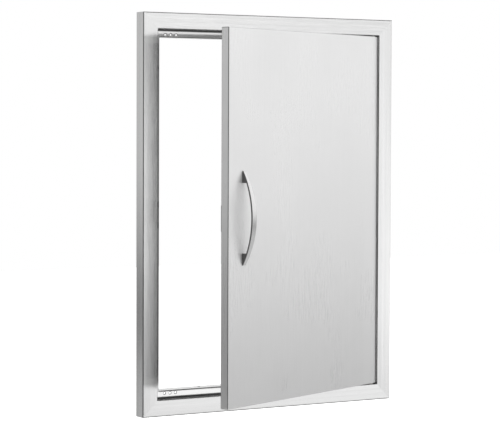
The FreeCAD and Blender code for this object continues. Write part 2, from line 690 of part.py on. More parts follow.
def strike_plate():
    back_y = FRONT_Y + DOOR_THICKNESS
    plate = rounded_slab(STRIKE_WIDTH / 2, STRIKE_LENGTH / 2, back_y, back_y + STRIKE_SHEET, STRIKE_CORNER)
    plate.translate(V(STRIKE_X, 0, 0))
    for z in strike_rivet_heights():
        plate = plate.cut(strike_rivet(z, FIT_CLEARANCE))
    return opened(plate)


def strike_rivet(z, clearance):
    """A countersunk rivet, flush with the strike, closed behind the pan's lip."""
    back_y = FRONT_Y + DOOR_THICKNESS
    head = Part.makeCone(STRIKE_RIVET_RADIUS + clearance, STRIKE_RIVET_HEAD_RADIUS + clearance,
                         STRIKE_SHEET * SINK, V(STRIKE_X, back_y + STRIKE_SHEET * (1 - SINK), z), V(0, 1, 0))
    shank = cylinder(V(STRIKE_X, back_y - DOOR_SHEET, z), V(0, 1, 0),
                     STRIKE_RIVET_RADIUS + clearance, DOOR_SHEET + STRIKE_SHEET)
    return head.fuse(shank)


def strike_rivets():
    back_y = FRONT_Y + DOOR_THICKNESS
    rivets = []
    for z in strike_rivet_heights():
        closed_end = cylinder(V(STRIKE_X, back_y - DOOR_SHEET, z), V(0, -1, 0), STRIKE_RIVET_HEAD_RADIUS,
                              STRIKE_RIVET_TAIL)
        rivets.append(opened(strike_rivet(z, 0).fuse(closed_end)))
    return Part.makeCompound(rivets)


def door_bumpers():
    """Domed pads on the stop flange, which the shut door just clears."""
    height = RECESS_DEPTH - DOOR_THICKNESS - SEAT_CLEARANCE
    pads = []
    for z in (-BUMPER_SPACING / 2, BUMPER_SPACING / 2):
        outline = domed(BUMPER_RADIUS, height)
        outline.append(Part.LineSegment(V(0, 0, height), V(0, 0, 0)).toShape())
        outline.append(Part.LineSegment(V(0, 0, 0), V(BUMPER_RADIUS, 0, 0)).toShape())
        pad = Part.Face(Part.Wire(outline)).revolve(V(0, 0, 0), V(0, 0, 1), 360)
        pad.Placement = FreeCAD.Placement(V(CATCH_X, FRONT_Y + RECESS_DEPTH, z),
                                          FreeCAD.Rotation(V(0, 0, 1), V(0, -1, 0)))
        pads.append(pad)
    return Part.makeCompound(pads)


def nodes():
    """Every piece by name, where it stands at rest."""
    made = {}
    for side, kind in (("top", "rail"), ("bottom", "rail"), ("left", "stile"), ("right", "stile")):
        made["frame_%s_%s" % (side, kind)] = frame_member(side)
    made["upper_hinge_bracket"] = hinge_bracket()
    made["upper_hinge_pin"] = hinge_pin()
    made["upper_bracket_screws"] = bracket_screws()
    made["upper_bracket_nuts"] = bracket_nuts()
    made["upper_door_bushing"] = door_bushing()
    for name in ("hinge_bracket", "hinge_pin", "bracket_screws", "bracket_nuts", "door_bushing"):
        made["lower_" + name] = upside_down(made["upper_" + name])
    made["lower_pivot_washer"] = pivot_washer()
    made["catch_housing"] = catch_housing()
    made["catch_magnet"] = catch_magnet()
    made["catch_poles"] = catch_poles()
    made["catch_screws"] = catch_screws()
    made["door_bumpers"] = door_bumpers()
    made["door_skin"] = door_skin()
    made["door_liner"] = door_liner()
    made["handle"] = handle()
    made["handle_backing_plate"] = backing_plate()
    made["handle_washers"] = handle_washers()
    made["handle_screws"] = handle_screws()
    made["liner_plugs"] = liner_plugs()
    made["strike_plate"] = strike_plate()
    made["strike_rivets"] = strike_rivets()
    return made


os.makedirs("parts", exist_ok=True)
for name, shape in nodes().items():
    shape.exportStep("parts/%s.step" % name)
    sizes = shape.BoundBox
    print("%-22s %d solid(s), valid %s, %.1f x %.1f x %.1f mm, %.0f mm3" % (
        name, len(shape.Solids), shape.isValid(), sizes.XLength, sizes.YLength, sizes.ZLength, shape.Volume))
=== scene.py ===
import math
from functools import partial

import bmesh
import bpy
from mathutils import Matrix, Vector


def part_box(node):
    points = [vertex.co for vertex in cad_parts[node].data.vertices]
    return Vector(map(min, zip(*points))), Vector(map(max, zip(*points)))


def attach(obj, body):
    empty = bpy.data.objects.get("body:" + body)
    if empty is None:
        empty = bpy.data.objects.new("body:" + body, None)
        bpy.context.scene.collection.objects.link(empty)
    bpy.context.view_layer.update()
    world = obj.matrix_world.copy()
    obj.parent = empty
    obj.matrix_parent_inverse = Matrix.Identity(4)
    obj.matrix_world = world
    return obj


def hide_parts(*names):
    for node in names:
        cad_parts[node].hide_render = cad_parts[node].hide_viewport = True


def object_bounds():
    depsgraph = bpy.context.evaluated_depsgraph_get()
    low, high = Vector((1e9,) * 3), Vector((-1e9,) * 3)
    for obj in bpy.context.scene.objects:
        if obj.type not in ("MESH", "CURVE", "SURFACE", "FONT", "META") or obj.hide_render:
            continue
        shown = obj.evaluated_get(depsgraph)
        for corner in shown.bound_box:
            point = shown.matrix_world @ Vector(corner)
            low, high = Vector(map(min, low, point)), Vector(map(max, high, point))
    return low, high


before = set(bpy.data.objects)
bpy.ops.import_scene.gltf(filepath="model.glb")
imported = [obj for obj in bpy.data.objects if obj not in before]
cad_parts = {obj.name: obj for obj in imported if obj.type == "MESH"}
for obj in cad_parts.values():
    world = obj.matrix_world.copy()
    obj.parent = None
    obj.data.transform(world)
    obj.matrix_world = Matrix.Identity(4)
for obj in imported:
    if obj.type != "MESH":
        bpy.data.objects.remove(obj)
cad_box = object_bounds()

# Directions of the part's own axes
UPRIGHT = Vector((0.0, 0.0, 1.0))
LEVEL = Vector((1.0, 0.0, 0.0))
FORWARD = Vector((0.0, -1.0, 0.0))

# The photograph's camera, in pixels of its 500 x 428 frame, in metres and in degrees
PHOTO_WIDTH = 500
FOCAL_PIXELS = 2050.27
SENSOR_WIDTH = 36.0          # in millimetres
CAMERA_PLACE = Vector((-1.88026, -3.07429, 0.15402))
CAMERA_YAW = 31.0612         # turned from +Y towards +X
CAMERA_DOWN = 2.4972
CAMERA_ROLL = 0.2185

# The floor and the lamp, in metres and watts
FLOOR_DROP = 0.22            # floor below the part
FLOOR_HALF_SIZE = 6.0
FLOOR_COLOUR = (0.80, 0.80, 0.80, 1.0)
FLOOR_ROUGHNESS = 0.9
FLOOR_LIFT = 0.62            # what lifts the lit floor to the backdrop's white
FLOOR_NEAR = 0.8             # from here the floor pales
FLOOR_FAR = 1.6              # and from here on it is white
WHITE = (1.0, 1.0, 1.0, 1.0)
LAMP_PLACE = Vector((0.5, -1.4, 2.4))
LAMP_SIZE = 2.2
LAMP_POWER = 45.0

# The room that the steel mirrors. Each wall has a level direction. A span says where something begins and
# where it is full, as cosines: to the wall's direction, and for heights to Z. The rest are brightnesses, with
# 1 for white.
LIT_WALL = Vector((0.80, -0.60, 0.0))
LIT_SPAN = (0.25, 0.70)
LIT_LOW = 0.10               # lit wall near the floor
LIT_HIGH = 1.28              # lit wall above
LIT_HEIGHTS = (-0.14, 0.06)  # between the two
FRONT = Vector((0.50, -0.866, 0.0))
LIT_PIVOT = 0.559            # where those heights hold, along FRONT
LIT_SLOPE = 0.34             # how fast they sink beyond it
GAP = Vector((0.719, -0.695, 0.0))    # a duller strip in the lit wall
GAP_SPAN = (0.90, 1.0)
GAP_HEIGHTS = (-0.03, 0.02)
GAP_DEPTH = 0.25
LEFT_WALL = Vector((-0.819, 0.574, 0.0))
LEFT_SPAN = (0.25, 0.60)
LEFT_LOW = 0.23              # left wall near its foot
LEFT_HEIGHTS = (-0.10, -0.01)
LEFT_FRONT = 0.72            # left wall above, at its front end
LEFT_BACK = 0.64             # and at its back end
LEFT_TURN = (-0.20, 0.45)    # from its front end to its back end, along BACKDROP
LEFT_FOOT_FRONT = 0.09       # foot of the left wall, at its front end
LEFT_FOOT_BACK = 0.52        # and at its back end
LEFT_FOOT_HEIGHTS = (-0.13, -0.095)
BACKDROP = Vector((0.50, 0.866, 0.0))
BACKDROP_SPAN = (0.60, 0.85)
BACKDROP_LEVEL = 0.95
CAMERA_SIDE_LOW = 0.06       # round the camera
CAMERA_SIDE_HIGH = 0.45
CAMERA_SIDE_HEIGHTS = (0.08, 0.30)
FLOOR_HEIGHTS = (-0.20, -0.14)
FLOOR_LEVEL = 0.75
UNDERFOOT_HEIGHTS = (-0.95, -0.75)
UNDERFOOT_LEVEL = 0.15
CEILING_HEIGHTS = (0.80, 0.97)
CEILING_LEVEL = 0.15
DIFFUSE_STRENGTH = 0.75      # strength of the room for dull surfaces

# Noise: its octaves, how rough they are, and what its values mostly lie between
NOISE_DETAIL = 2.0
GRAIN_NOISE_ROUGHNESS = 0.6
PATCH_NOISE_ROUGHNESS = 0.5
NOISE_SPAN = (0.3, 0.7)
STREAK_SPAN = (0.25, 0.75)
NOISE_MIDDLE = 0.5

# Brushed steel
GRAIN_ACROSS = 4500.0        # marks per metre
GRAIN_ALONG = 30.0
GRAIN_ROUGHNESS = 0.08       # share by which the grain changes the roughness
STREAKS_ALONG = 3.0
STREAK_WIDTH = 0.005         # in metres
STREAK_MARKS = 0.03          # share by which the streaks change the light
PATCHES = 7.0                # patches per metre
PATCH_ROUGHNESS = (0.96, 1.05)
RAY_SAMPLES = 8
# Painted shade, which darkens the steel's colour in crevices, on bends and on the sides of pieces
CREVICE_REACH = 0.003        # in metres
CREVICE_OPEN = 0.6           # this open to its surroundings, a surface keeps all its light
BEND_SPAN = (0.93, 0.998)    # how far a normal is along an axis: less on bends, more on flat faces
BEND_SIDE_SPAN = (-0.1, 0.2)   # how far a bend faces a side, from not at all to fully
SIDE_SPAN = (0.25, 0.7)      # the same for a face and its piece's own side

# The frame's sheet, in metres
FRAME_SHADE = 0.73
FACE_WIDTH = 0.0285          # width of the frame's front face
FRAME_CROWN = 0.06           # how far the stiles' faces lean over half their width
CROWN_SHIFT = 0.7            # how far right of its middle a stile's face is level, as a share of its width
STILE_WEAR = 0.0015          # how far polishing has rounded the stiles' bends
RAIL_WEAR = 0.00225
FLANGE_DEPTHS = (-0.01425, -0.0095)   # Y between the front face and the stop flange
TOP_FLANGE_LEAN = 0.0075     # how far the top rail's stop flange leans down
BOTTOM_FLANGE_LEAN = -0.03   # the bottom rail's leans up
MITRE_WIDTH = 0.0008
MITRE_LOSS = 0.03            # light lost on a mitre's seam
# Painted shade and light on the free side's stile, standing for the reflections on its face
STILE_FOOT = (-0.25, -0.03)  # Z over which painted shade darkens the free side's stile, downwards to its foot
STILE_FOOT_PAINTED_SHADE = 0.22
STILE_HEAD = (0.10, 0.33)    # Z over which painted shade darkens it upwards to its head
STILE_HEAD_PAINTED_SHADE = 0.25
LOWER_CORNER = (-0.292, -0.284)       # Z below which it gets painted light
UPPER_CORNER = (0.2995, 0.3055)       # Z above which it has no painted shade
CORNER_PAINTED_LIGHT = 1.07

# The door
DOOR_OPEN = 22.8             # how far it stands open in the CAD model, in degrees
DOOR_ACROSS = Matrix.Rotation(math.radians(DOOR_OPEN), 3, "Z") @ LEVEL

# Plastic and rubber
PEBBLES = 2500.0             # marks per metre
BLOTCHES = 60.0
BLOTCH_LIGHT = (0.92, 1.06)
BLOTCH_ROUGHNESS = 0.05

# Fasteners, in metres
HEAD_RADIUS = 0.0028
HEAD_HEIGHT = 0.0020
FLAT_HEAD_DEPTH = 0.00096
SCREW_RADIUS = 0.0015
SCREW_PITCH = 0.0005
NUT_WIDTH = 0.0055
BRACKET_SCREWS = 3           # in each hinge bracket
CATCH_SCREWS = 2

# Their forms, as shares of the sizes named
DOME_RIM = 0.4               # a domed head's straight rim, of its height, and its flat top, of its radius
FLAT_HEAD_RIM = 0.15         # a countersunk head's straight rim, of its depth
SCREW_TIP = 0.7              # a screw's end, of the screw's radius
RECESS_LENGTH = 0.58         # half a cross recess's length, of the radius that it suits
RECESS_WIDTH = 0.11          # half its width
RECESS_DEPTH = 0.42
RECESS_TAPER = 0.45          # the bottom of its cutter, of the cutter's top
NUT_END = 0.96               # a nut's round end faces, of half its width
NUT_CHAMFER_SLOPE = 0.5      # height over width
THREAD_DEPTH = 0.6           # a thread's depth, of its pitch

# How finely they are made
ROUND_STEPS = 48
DOME_STEPS = 6
THREAD_STEPS = 6             # rings along one turn of a thread
SHARP_ANGLE = 35             # edges sharper than this stay sharp, in degrees

FASTENER_SLOT = "fastener_steel"


def add(tree, kind, inputs=None, **settings):
    """Makes a node. An input is given a value, or the socket that feeds it."""
    made = tree.nodes.new("ShaderNode" + kind)
    for name, value in settings.items():
        setattr(made, name, value)
    for key, value in (inputs or {}).items():
        if isinstance(value, bpy.types.NodeSocket):
            tree.links.new(value, made.inputs[key])
        else:
            made.inputs[key].default_value = value
    return made


def blank_material(name):
    """A material with only its shader and output."""
    material = bpy.data.materials.new(name)
    material.use_nodes = True
    tree = material.node_tree
    tree.nodes.clear()
    shader = add(tree, "BsdfPrincipled")
    output = add(tree, "OutputMaterial")
    tree.links.new(shader.outputs["BSDF"], output.inputs["Surface"])
    return material, tree, shader


def smooth_range(tree, value, low, high, to_low, to_high):
    """value taken from low..high to to_low..to_high, eased at both ends."""
    return add(tree, "MapRange", {"Value": value, "From Min": low, "From Max": high,
                                  "To Min": to_low, "To Max": to_high},
               interpolation_type="SMOOTHSTEP").outputs["Result"]


def above(tree, value, span):
    """1 where value is above span, 0 below it."""
    return smooth_range(tree, value, *span, 0.0, 1.0)


def below(tree, value, span):
    """1 where value is below span, 0 above it."""
    return smooth_range(tree, value, *span, 1.0, 0.0)


def maths(tree, operation, first, second=0.0):
    return add(tree, "Math", {0: first, 1: second}, operation=operation).outputs["Value"]


def times(tree, first, second):
    return maths(tree, "MULTIPLY", first, second)


def remainder(tree, share):
    """What a share leaves of 1."""
    return maths(tree, "SUBTRACT", 1.0, share)


def unsigned(tree, value):
    return maths(tree, "ABSOLUTE", value)


def blended(tree, share, first, second):
    """first where share is 0, second where it is 1."""
    return maths(tree, "ADD", times(tree, first, remainder(tree, share)), times(tree, second, share))


def vectors(tree, operation, first, second):
    return add(tree, "VectorMath", {0: first, 1: second}, operation=operation).outputs["Vector"]


def scaled(tree, vector, factor):
    return add(tree, "VectorMath", {0: vector, "Scale": factor}, operation="SCALE").outputs["Vector"]


def unit(tree, vector):
    return add(tree, "VectorMath", {0: vector}, operation="NORMALIZE").outputs["Vector"]


def dot(tree, vector, direction):
    return add(tree, "VectorMath", {0: vector, 1: direction}, operation="DOT_PRODUCT").outputs["Value"]


def place_in_part(tree):
    return add(tree, "TexCoord").outputs["Object"]


def coordinate(tree, axis):
    """X, Y or Z of the place in the part."""
    return add(tree, "SeparateXYZ", {"Vector": place_in_part(tree)}).outputs[axis]


def grain_noise(tree, grain, across, along):
    """Noise drawn out along the grain: across and along are marks per metre."""
    scale = Vector((across, across, across)) + grain * (along - across)
    stretched = add(tree, "Mapping", {"Vector": place_in_part(tree), "Scale": scale}).outputs["Vector"]
    return add(tree, "TexNoise", {"Vector": stretched, "Scale": 1.0, "Detail": NOISE_DETAIL,
                                  "Roughness": GRAIN_NOISE_ROUGHNESS}).outputs["Fac"]


def soft_patches(tree, scale):
    """Broad soft patches where cloths and hands have changed the gloss."""
    return add(tree, "TexNoise", {"Vector": place_in_part(tree), "Scale": scale, "Detail": NOISE_DETAIL,
                                  "Roughness": PATCH_NOISE_ROUGHNESS}).outputs["Fac"]


def facing(tree, normal, direction):
    """How far a surface faces along a direction of its own piece: 1 is fully, -1 the other way."""
    own = add(tree, "VectorTransform", {"Vector": normal}, vector_type="NORMAL", convert_from="WORLD",
              convert_to="OBJECT").outputs["Vector"]
    return dot(tree, own, direction)


def front_share(tree, normal):
    """1 where a surface faces the front, 0 where it faces sideways or back."""
    return maths(tree, "MAXIMUM", dot(tree, normal, FORWARD), 0.0)


def off_the_mitre(tree):
    """Distance from the diagonal seams at the frame's corners."""
    from_side = maths(tree, "SUBTRACT", cad_box[1].x, unsigned(tree, coordinate(tree, "X")))
    from_end = maths(tree, "SUBTRACT", cad_box[1].z, unsigned(tree, coordinate(tree, "Z")))
    return unsigned(tree, maths(tree, "SUBTRACT", from_side, from_end))


def worn_normal(tree, normal, wear):
    """The normal on bends that polishing has rounded, but for the mitres, where two pieces meet."""
    rounded = add(tree, "Bevel", {"Radius": wear}, samples=RAY_SAMPLES).outputs["Normal"]
    change = vectors(tree, "SUBTRACT", rounded, normal)
    share = above(tree, off_the_mitre(tree), (wear, 2 * wear))
    return vectors(tree, "ADD", normal, scaled(tree, change, share))


def mitre_light(tree):
    """Light left on the thin seams of the mitres."""
    return remainder(tree, smooth_range(tree, off_the_mitre(tree), 0.0, MITRE_WIDTH, MITRE_LOSS, 0.0))


def streak_light(tree, grain, width, marks):
    """Light left by the streaks of coarse brushing."""
    streaks = grain_noise(tree, grain, 1.0 / width, STREAKS_ALONG)
    return smooth_range(tree, streaks, *STREAK_SPAN, 1.0 - marks, 1.0 + marks)


def painted_crevice_shade(tree, loss):
    """Painted shade in narrow corners and gaps: the colour left there."""
    openness = add(tree, "AmbientOcclusion", {"Distance": CREVICE_REACH}, samples=RAY_SAMPLES).outputs["AO"]
    return smooth_range(tree, openness, 0.0, CREVICE_OPEN, 1.0 - loss, 1.0)


def painted_bend_shade(tree, normal, across, side, near_loss, far_loss=0.0):
    """Painted shade on bent sheet whose width is along across, standing for the dark reflections on its
    bends: the colour left there. Bends that face side lose near_loss of it, and the other bends far_loss."""
    flat = 0.0
    for direction in (across, across.cross(UPRIGHT), UPRIGHT):
        flat = maths(tree, "MAXIMUM", flat, unsigned(tree, facing(tree, normal, direction)))
    loss = smooth_range(tree, facing(tree, normal, side), *BEND_SIDE_SPAN, far_loss, near_loss)
    return remainder(tree, times(tree, below(tree, flat, BEND_SPAN), loss))


def painted_side_shade(tree, normal, across, loss):
    """Painted shade on the sides of a piece whose width is along across: the colour left there."""
    return smooth_range(tree, unsigned(tree, facing(tree, normal, across)), *SIDE_SPAN, 1.0, 1.0 - loss)


def painted_end_light(tree, normal):
    """Painted shade and light on the face of the free side's stile: darker towards its ends, but not on the
    corners, and lighter on the lower corner.
    """
    height = coordinate(tree, "Z")
    foot = smooth_range(tree, height, *STILE_FOOT, 1.0 - STILE_FOOT_PAINTED_SHADE, 1.0)
    head = smooth_range(tree, height, *STILE_HEAD, 1.0, 1.0 - STILE_HEAD_PAINTED_SHADE)
    head = blended(tree, above(tree, height, UPPER_CORNER), head, 1.0)
    light = blended(tree, below(tree, height, LOWER_CORNER), times(tree, foot, head), CORNER_PAINTED_LIGHT)
    return blended(tree, front_share(tree, normal), 1.0, light)


def brushed_roughness(tree, fine, roughness):
    """Roughness that changes with the fine grain, and broadly with handling."""
    low = roughness * (1.0 - GRAIN_ROUGHNESS)
    high = roughness * (1.0 + GRAIN_ROUGHNESS)
    handled = smooth_range(tree, soft_patches(tree, PATCHES), *NOISE_SPAN, *PATCH_ROUGHNESS)
    return times(tree, smooth_range(tree, fine, *NOISE_SPAN, low, high), handled)


def sideways_of(tree, normal):
    """The level direction along a face, or front to back where the face itself is level."""
    level_face = unsigned(tree, dot(tree, normal, UPRIGHT))
    axis = vectors(tree, "ADD", scaled(tree, LEVEL, level_face), UPRIGHT)
    return unit(tree, vectors(tree, "CROSS_PRODUCT", normal, axis))


def crown_slope(tree, normal, middle):
    """Slope of a stile's crowned front face, which leans to the left, most at its left edge."""
    off = maths(tree, "SUBTRACT", middle + FACE_WIDTH * CROWN_SHIFT, coordinate(tree, "X"))
    return times(tree, front_share(tree, normal), times(tree, off, FRAME_CROWN / (FACE_WIDTH / 2)))


def flange_slope(tree, lean):
    """How far the normal leans down, on the stop flange and behind it."""
    return scaled(tree, UPRIGHT, smooth_range(tree, coordinate(tree, "Y"), *FLANGE_DEPTHS, 0.0, lean))


def steel(name, shade, roughness, grain, spread=0.0, stretch=1.0, metallic=1.0, marks=STREAK_MARKS,
          streak_width=STREAK_WIDTH, crevices=0.0, wear=0.0, shading=(), crown_middle=None, flange_lean=0.0):
    """Stainless steel. Brushing spreads its reflections sideways: by the grain's own slopes, which are
    spread, and by the shader's stretched highlight. crevices is the painted shade in narrow gaps, the share
    of colour darkened there, wear is how far polishing has rounded the bends, and shading holds functions of
    the tree and the normal that give the painted shade and light multiplied into the colour of its faces.
    crown_middle is X of a crowned face's middle, and flange_lean is how far the stop flange leans down."""
    material, tree, shader = blank_material(name)
    fine = grain_noise(tree, grain, GRAIN_ACROSS, GRAIN_ALONG)
    normal = add(tree, "NewGeometry").outputs["Normal"]
    light = streak_light(tree, grain, streak_width, marks)
    # Painted shade in narrow gaps, multiplied into the colour
    if crevices:
        light = times(tree, light, painted_crevice_shade(tree, crevices))
    if wear:
        normal = worn_normal(tree, normal, wear)
        light = times(tree, light, mitre_light(tree))
    # Painted shade and light from the shading functions, multiplied into the colour
    for light_left in shading:
        light = times(tree, light, light_left(tree, normal))
    tree.links.new(scaled(tree, (shade, shade, shade), light), shader.inputs["Base Color"])
    tree.links.new(brushed_roughness(tree, fine, roughness), shader.inputs["Roughness"])
    sideways = sideways_of(tree, normal)
    slope = times(tree, maths(tree, "SUBTRACT", fine, NOISE_MIDDLE), spread)
    if crown_middle is not None:
        slope = maths(tree, "ADD", slope, crown_slope(tree, normal, crown_middle))
    tilted = vectors(tree, "ADD", normal, scaled(tree, sideways, slope))
    if flange_lean:
        tilted = vectors(tree, "SUBTRACT", tilted, flange_slope(tree, flange_lean))
    tree.links.new(unit(tree, tilted), shader.inputs["Normal"])
    tree.links.new(sideways, shader.inputs["Tangent"])
    shader.inputs["Metallic"].default_value = metallic
    shader.inputs["Anisotropic"].default_value = stretch
    return material


def rail_steel(node_name):
    """A rail's steel, streaked lengthwise, with painted shade on its bends. Its outer bend gets the darker
    painted shade.
    """
    top = "top" in node_name
    outward = UPRIGHT if top else -UPRIGHT
    bends = partial(painted_bend_shade, across=LEVEL, side=outward, near_loss=0.97, far_loss=0.65)
    return steel("steel_" + node_name, shade=FRAME_SHADE, roughness=0.12, grain=LEVEL, spread=0.75,
                 crevices=0.2, wear=RAIL_WEAR, shading=(bends,),
                 flange_lean=TOP_FLANGE_LEAN if top else BOTTOM_FLANGE_LEAN)


def stile_steel(node_name):
    """A stile's steel, streaked upright and slightly crowned, with painted shade on its bends. The free
    side's stile also has painted shade towards its ends and painted light on its lower corner.
    """
    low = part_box(node_name)[0]
    middle = cad_box[1].x - FACE_WIDTH / 2
    if low.x < 0:
        bends = partial(painted_bend_shade, across=LEVEL, side=LEVEL, near_loss=0.75, far_loss=0.75)
        shading = (bends, painted_end_light)
        middle = -middle
    else:
        shading = (partial(painted_bend_shade, across=LEVEL, side=-LEVEL, near_loss=0.95, far_loss=0.2),)
    return steel("steel_" + node_name, shade=FRAME_SHADE, roughness=0.20, grain=UPRIGHT, spread=0.4,
                 crevices=0.5, wear=STILE_WEAR, shading=shading, crown_middle=middle)


def door_steel():
    """The door's face, brushed finer than the frame, with painted shade on the bend along its free edge."""
    bends = partial(painted_bend_shade, across=DOOR_ACROSS, side=-DOOR_ACROSS, near_loss=0.8)
    return steel("brushed_door_steel", shade=0.83, roughness=0.30, grain=UPRIGHT, spread=0.42,
                 metallic=0.75, marks=0.006, crevices=0.15, shading=(bends,))


def handle_steel():
    """The handle, polished, with painted shade darkening its sides."""
    sides = partial(painted_side_shade, across=DOOR_ACROSS, loss=0.74)
    return steel("polished_handle_steel", shade=0.64, roughness=0.27, grain=UPRIGHT, stretch=0.0,
                 streak_width=0.002, shading=(sides,))


def plastic(name, colour, roughness, pebble):
    """Moulded plastic or rubber with a fine pebbled skin, whose depth is pebble."""
    material, tree, shader = blank_material(name)
    fine = add(tree, "TexNoise", {"Vector": place_in_part(tree), "Scale": PEBBLES,
                                  "Detail": NOISE_DETAIL}).outputs["Fac"]
    broad = soft_patches(tree, BLOTCHES)
    light = smooth_range(tree, broad, *NOISE_SPAN, *BLOTCH_LIGHT)
    tree.links.new(scaled(tree, colour, light), shader.inputs["Base Color"])
    rough = smooth_range(tree, broad, *NOISE_SPAN, roughness - BLOTCH_ROUGHNESS, roughness + BLOTCH_ROUGHNESS)
    tree.links.new(rough, shader.inputs["Roughness"])
    bump = add(tree, "Bump", {"Height": fine, "Strength": 1.0, "Distance": pebble})
    tree.links.new(bump.outputs["Normal"], shader.inputs["Normal"])
    return material


def finishes():
    """A material for each slot of the record but the frame's."""
    return {
        "door_steel": door_steel(),
        # The liner's dark colour is painted shade, standing for the shaded back of the door that the stile
        # mirrors
        "liner_steel": steel("painted_dark_liner_steel", shade=0.27, roughness=0.35, grain=UPRIGHT, spread=0.3,
                             stretch=0.5),
        "handle_steel": handle_steel(),
        "hinge_steel": steel("hinge_steel", shade=0.60, roughness=0.30, grain=LEVEL, spread=0.2, stretch=0.4),
        "pin_steel": steel("turned_pin_steel", shade=0.60, roughness=0.25, grain=LEVEL, stretch=0.4),
        FASTENER_SLOT: steel(FASTENER_SLOT, shade=0.60, roughness=0.25, grain=LEVEL, stretch=0.0),
        "pole_steel": steel("zinc_pole_steel", shade=0.50, roughness=0.35, grain=UPRIGHT, stretch=0.2),
        "bearing_nylon": plastic("bearing_nylon", colour=(0.72, 0.71, 0.66), roughness=0.45, pebble=0.00002),
        "catch_plastic": plastic("catch_plastic", colour=(0.06, 0.06, 0.06), roughness=0.5, pebble=0.00003),
        "plug_plastic": plastic("plug_plastic", colour=(0.35, 0.35, 0.35), roughness=0.5, pebble=0.00003),
        "magnet_ferrite": plastic("magnet_ferrite", colour=(0.05, 0.05, 0.055), roughness=0.55,
                                  pebble=0.00002),
        "bumper_rubber": plastic("bumper_rubber", colour=(0.08, 0.08, 0.08), roughness=0.6, pebble=0.00002),
    }


def finish_nodes(by_slot):
    """Gives each piece of the part the finish that its slot names. Each frame member has its own."""
    for name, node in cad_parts.items():
        slot = node.material_slots[0]
        if slot.material.name != "frame_steel":
            slot.material = by_slot[slot.material.name]
        elif name.endswith("rail"):
            slot.material = rail_steel(name)
        else:
            slot.material = stile_steel(name)


def skin_rings(rings, closed):
    """A mesh over rings of equal counts. Its ends are filled, or the last ring meets the first."""
    shape = bmesh.new()
    rows = [[shape.verts.new(point) for point in ring] for ring in rings]
    count = len(rows[0])
    pairs = list(zip(rows, rows[1:]))
    if closed:
        pairs.append((rows[-1], rows[0]))
    for first, second in pairs:
        for i in range(count):
            j = (i + 1) % count
            shape.faces.new((first[i], first[j], second[j], second[i]))
    if not closed:
        shape.faces.new(rows[0][::-1])
        shape.faces.new(rows[-1])
    bmesh.ops.recalc_face_normals(shape, faces=shape.faces)
    return shape


def circle(radius, height):
    """Points of a ring about Z. radius and height may each be a function of the angle."""
    points = []
    for i in range(ROUND_STEPS):
        angle = 2 * math.pi * i / ROUND_STEPS
        r = radius(angle) if callable(radius) else radius
        z = height(angle) if callable(height) else height
        points.append(Vector((r * math.cos(angle), r * math.sin(angle), z)))
    return points


def threaded(radius, start, end, pitch, outward):
    """Rings of a thread from start down to end. outward is 1 on a screw, and -1 in a nut's bore."""
    depth = pitch * THREAD_DEPTH
    steps = max(2, round((start - end) / pitch * THREAD_STEPS))
    rings = []
    for k in range(steps + 1):
        z = start + (end - start) * k / steps

        def crest(angle, z=z, fade=min(k, steps - k, THREAD_STEPS) / THREAD_STEPS):
            turn = (z / pitch + angle / (2 * math.pi)) % 1.0
            return radius - outward * depth * fade * abs(2 * turn - 1)

        rings.append(circle(crest, z))
    return rings


def cross_cutter(radius, top):
    """The point of a cross-head driver, wider above, and with its tip below top. radius is what it suits."""
    long, wide, depth = radius * RECESS_LENGTH, radius * RECESS_WIDTH, radius * RECESS_DEPTH
    outline = []
    for quarter in range(4):
        turn = Matrix.Rotation(quarter * math.pi / 2, 3, "Z")
        for x, y in ((wide, -wide), (long, -wide), (long, wide)):
            outline.append(turn @ Vector((x, y, 0)))
    cutter = bmesh.new()
    upper = [cutter.verts.new(point + Vector((0, 0, top + depth))) for point in outline]
    lower = [cutter.verts.new(point * RECESS_TAPER + Vector((0, 0, top - depth))) for point in outline]
    cutter.faces.new(upper)
    cutter.faces.new(lower[::-1])
    for i in range(len(outline)):
        j = (i + 1) % len(outline)
        cutter.faces.new((upper[i], lower[i], lower[j], upper[j]))
    bmesh.ops.recalc_face_normals(cutter, faces=cutter.faces)
    return cutter


def mesh_of(shape, name):
    """A mesh made from a bmesh, which is used up."""
    mesh = bpy.data.meshes.new(name)
    shape.to_mesh(mesh)
    shape.free()
    return mesh


def object_of(shape, name):
    """A new object that shows a bmesh, which is used up."""
    made = bpy.data.objects.new(name, mesh_of(shape, name))
    bpy.context.scene.collection.objects.link(made)
    return made


def cut(body, cutter):
    """The mesh of body with cutter taken out of it. Both objects are used up."""
    modifier = body.modifiers.new("cut", "BOOLEAN")
    modifier.operation = "DIFFERENCE"
    modifier.solver = "EXACT"
    modifier.object = cutter
    depsgraph = bpy.context.evaluated_depsgraph_get()
    mesh = bpy.data.meshes.new_from_object(body.evaluated_get(depsgraph))
    bpy.data.objects.remove(cutter)
    bpy.data.objects.remove(body)
    return mesh


def screw_mesh(head, recess_radius, length):
    """A screw along Z with a cross recess. head is its outline as (radius, height) from the shank up."""
    under_head = head[0][1]
    top = head[-1][1]
    rings = [circle(r, z) for r, z in reversed(head)]
    rings += threaded(SCREW_RADIUS, under_head - SCREW_PITCH / 2, -length + SCREW_PITCH, SCREW_PITCH, 1)
    rings.append(circle(SCREW_RADIUS * SCREW_TIP, -length))
    body = object_of(skin_rings(rings, closed=False), "screw_body")
    return cut(body, object_of(cross_cutter(recess_radius, top), "screw_cutter"))


